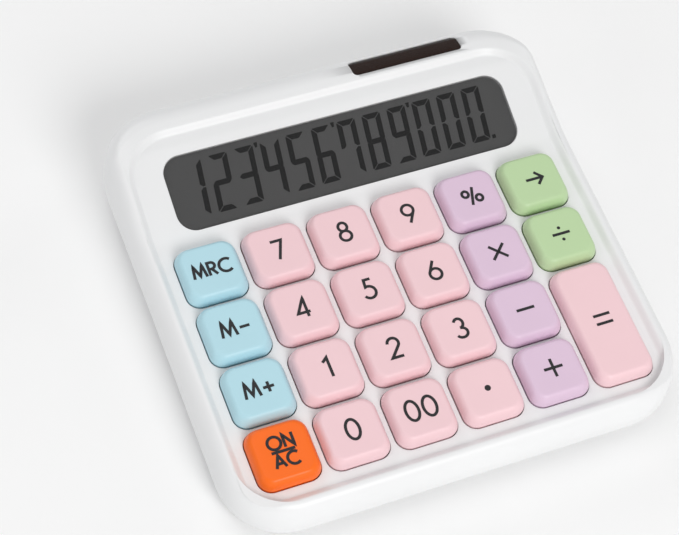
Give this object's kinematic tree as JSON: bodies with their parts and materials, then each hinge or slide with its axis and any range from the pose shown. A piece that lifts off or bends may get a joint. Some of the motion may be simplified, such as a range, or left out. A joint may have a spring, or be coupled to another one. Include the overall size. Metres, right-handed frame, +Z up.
{
  "type": "desk calculator",
  "caption": "Wedge-shaped desk calculator: sunk deck of square spring-back keys, sloping digit display, solar strip, round-edged shell and hinged battery door.",
  "frame": {"origin": "centre of the footprint, on the table under the rubber feet", "axes": "+Z up; +Y from the keys towards the display; +X to the user's right"},
  "size_m": [0.1502, 0.1488, 0.0349],
  "materials": {
    "white_shell": "fine satin moulded finish",
    "key_blue": "smooth satin",
    "key_orange": "smooth satin",
    "key_lilac": "smooth satin",
    "key_green": "smooth satin",
    "key_pink": "smooth satin",
    "display_window": "smoked, clear and smooth",
    "lcd_glass": "grey liquid-crystal cell",
    "lcd_reflector": "dull grey foil",
    "inner_plastic": "plain moulded",
    "ribbon_film": "thin amber film",
    "screw_steel": "zinc plated",
    "solar_window": "dark brown, clear and smooth",
    "solar_cell": "dark brown striped cell",
    "silicone_mat": "soft matte silicone",
    "circuit_board": "green solder resist",
    "black_resin": "black resin blob",
    "capacitor_sleeve": "dark blue sleeve",
    "rubber_feet": "matte",
    "cell_can": "bright can",
    "contact_steel": "nickel plated",
    "red_wire": "smooth insulation",
    "black_wire": "smooth insulation"
  },
  "bodies": {
    "case": {"top_case": "white_shell", "rear_cover": "white_shell", "display_window": "display_window", "lcd_glass": "lcd_glass", "lcd_reflector": "lcd_reflector", "lcd_frame": "inner_plastic", "lcd_ribbon": "ribbon_film", "lcd_screws": "screw_steel", "solar_window": "solar_window", "solar_cell": "solar_cell", "solar_bracket": "inner_plastic", "solar_screws": "screw_steel", "keypad_mat": "silicone_mat", "main_board": "circuit_board", "controller_chip": "black_resin", "board_capacitors": "capacitor_sleeve", "board_screws": "screw_steel", "case_screws": "screw_steel", "rubber_feet": "rubber_feet", "battery_cell": "cell_can", "contact_spring": "contact_steel", "contact_plate": "contact_steel", "battery_lead_red": "red_wire", "battery_lead_black": "black_wire", "solar_lead_red": "red_wire", "solar_lead_black": "black_wire"},
    "button_mrc": {"key_mrc": "key_blue"},
    "button_m_minus": {"key_m_minus": "key_blue"},
    "button_m_plus": {"key_m_plus": "key_blue"},
    "button_on_ac": {"key_on_ac": "key_orange"},
    "button_7": {"key_7": "key_pink"},
    "button_4": {"key_4": "key_pink"},
    "button_1": {"key_1": "key_pink"},
    "button_0": {"key_0": "key_pink"},
    "button_8": {"key_8": "key_pink"},
    "button_5": {"key_5": "key_pink"},
    "button_2": {"key_2": "key_pink"},
    "button_00": {"key_00": "key_pink"},
    "button_9": {"key_9": "key_pink"},
    "button_6": {"key_6": "key_pink"},
    "button_3": {"key_3": "key_pink"},
    "button_point": {"key_point": "key_pink"},
    "button_percent": {"key_percent": "key_lilac"},
    "button_multiply": {"key_multiply": "key_lilac"},
    "button_minus": {"key_minus": "key_lilac"},
    "button_plus": {"key_plus": "key_lilac"},
    "button_backspace": {"key_backspace": "key_green"},
    "button_divide": {"key_divide": "key_green"},
    "button_equals": {"key_equals": "key_pink"},
    "door": {"battery_door": "white_shell"}
  },
  "joints": [
    {"name": "press_mrc", "type": "slide", "parent": "case", "child": "button_mrc", "axis": [0, -0.0698, 0.9976], "range_m": [-0.0025, 0], "stiffness_N_per_m": 280, "springref_m": 0.0006, "deforming": ["keypad_mat"]},
    {"name": "press_m_minus", "type": "slide", "parent": "case", "child": "button_m_minus", "axis": [0, -0.0698, 0.9976], "range_m": [-0.0025, 0], "stiffness_N_per_m": 280, "springref_m": 0.0006, "deforming": ["keypad_mat"]},
    {"name": "press_m_plus", "type": "slide", "parent": "case", "child": "button_m_plus", "axis": [0, -0.0698, 0.9976], "range_m": [-0.0025, 0], "stiffness_N_per_m": 280, "springref_m": 0.0006, "deforming": ["keypad_mat"]},
    {"name": "press_on_ac", "type": "slide", "parent": "case", "child": "button_on_ac", "axis": [0, -0.0698, 0.9976], "range_m": [-0.0025, 0], "stiffness_N_per_m": 280, "springref_m": 0.0006, "deforming": ["keypad_mat"]},
    {"name": "press_7", "type": "slide", "parent": "case", "child": "button_7", "axis": [0, -0.0698, 0.9976], "range_m": [-0.0025, 0], "stiffness_N_per_m": 280, "springref_m": 0.0006, "deforming": ["keypad_mat"]},
    {"name": "press_4", "type": "slide", "parent": "case", "child": "button_4", "axis": [0, -0.0698, 0.9976], "range_m": [-0.0025, 0], "stiffness_N_per_m": 280, "springref_m": 0.0006, "deforming": ["keypad_mat"]},
    {"name": "press_1", "type": "slide", "parent": "case", "child": "button_1", "axis": [0, -0.0698, 0.9976], "range_m": [-0.0025, 0], "stiffness_N_per_m": 280, "springref_m": 0.0006, "deforming": ["keypad_mat"]},
    {"name": "press_0", "type": "slide", "parent": "case", "child": "button_0", "axis": [0, -0.0698, 0.9976], "range_m": [-0.0025, 0], "stiffness_N_per_m": 280, "springref_m": 0.0006, "deforming": ["keypad_mat"]},
    {"name": "press_8", "type": "slide", "parent": "case", "child": "button_8", "axis": [0, -0.0698, 0.9976], "range_m": [-0.0025, 0], "stiffness_N_per_m": 280, "springref_m": 0.0006, "deforming": ["keypad_mat"]},
    {"name": "press_5", "type": "slide", "parent": "case", "child": "button_5", "axis": [0, -0.0698, 0.9976], "range_m": [-0.0025, 0], "stiffness_N_per_m": 280, "springref_m": 0.0006, "deforming": ["keypad_mat"]},
    {"name": "press_2", "type": "slide", "parent": "case", "child": "button_2", "axis": [0, -0.0698, 0.9976], "range_m": [-0.0025, 0], "stiffness_N_per_m": 280, "springref_m": 0.0006, "deforming": ["keypad_mat"]},
    {"name": "press_00", "type": "slide", "parent": "case", "child": "button_00", "axis": [0, -0.0698, 0.9976], "range_m": [-0.0025, 0], "stiffness_N_per_m": 280, "springref_m": 0.0006, "deforming": ["keypad_mat"]},
    {"name": "press_9", "type": "slide", "parent": "case", "child": "button_9", "axis": [0, -0.0698, 0.9976], "range_m": [-0.0025, 0], "stiffness_N_per_m": 280, "springref_m": 0.0006, "deforming": ["keypad_mat"]},
    {"name": "press_6", "type": "slide", "parent": "case", "child": "button_6", "axis": [0, -0.0698, 0.9976], "range_m": [-0.0025, 0], "stiffness_N_per_m": 280, "springref_m": 0.0006, "deforming": ["keypad_mat"]},
    {"name": "press_3", "type": "slide", "parent": "case", "child": "button_3", "axis": [0, -0.0698, 0.9976], "range_m": [-0.0025, 0], "stiffness_N_per_m": 280, "springref_m": 0.0006, "deforming": ["keypad_mat"]},
    {"name": "press_point", "type": "slide", "parent": "case", "child": "button_point", "axis": [0, -0.0698, 0.9976], "range_m": [-0.0025, 0], "stiffness_N_per_m": 280, "springref_m": 0.0006, "deforming": ["keypad_mat"]},
    {"name": "press_percent", "type": "slide", "parent": "case", "child": "button_percent", "axis": [0, -0.0698, 0.9976], "range_m": [-0.0025, 0], "stiffness_N_per_m": 280, "springref_m": 0.0006, "deforming": ["keypad_mat"]},
    {"name": "press_multiply", "type": "slide", "parent": "case", "child": "button_multiply", "axis": [0, -0.0698, 0.9976], "range_m": [-0.0025, 0], "stiffness_N_per_m": 280, "springref_m": 0.0006, "deforming": ["keypad_mat"]},
    {"name": "press_minus", "type": "slide", "parent": "case", "child": "button_minus", "axis": [0, -0.0698, 0.9976], "range_m": [-0.0025, 0], "stiffness_N_per_m": 280, "springref_m": 0.0006, "deforming": ["keypad_mat"]},
    {"name": "press_plus", "type": "slide", "parent": "case", "child": "button_plus", "axis": [0, -0.0698, 0.9976], "range_m": [-0.0025, 0], "stiffness_N_per_m": 280, "springref_m": 0.0006, "deforming": ["keypad_mat"]},
    {"name": "press_backspace", "type": "slide", "parent": "case", "child": "button_backspace", "axis": [0, -0.0698, 0.9976], "range_m": [-0.0025, 0], "stiffness_N_per_m": 280, "springref_m": 0.0006, "deforming": ["keypad_mat"]},
    {"name": "press_divide", "type": "slide", "parent": "case", "child": "button_divide", "axis": [0, -0.0698, 0.9976], "range_m": [-0.0025, 0], "stiffness_N_per_m": 280, "springref_m": 0.0006, "deforming": ["keypad_mat"]},
    {"name": "press_equals", "type": "slide", "parent": "case", "child": "button_equals", "axis": [0, -0.0698, 0.9976], "range_m": [-0.0025, 0], "stiffness_N_per_m": 280, "springref_m": 0.0006, "deforming": ["keypad_mat"]},
    {"name": "door_hinge", "type": "hinge", "parent": "case", "child": "door", "pos_m": [-0.014, 0.04, 0.0023], "axis": [-1, 0, 0], "range_deg": [0, 90]}
  ]
}
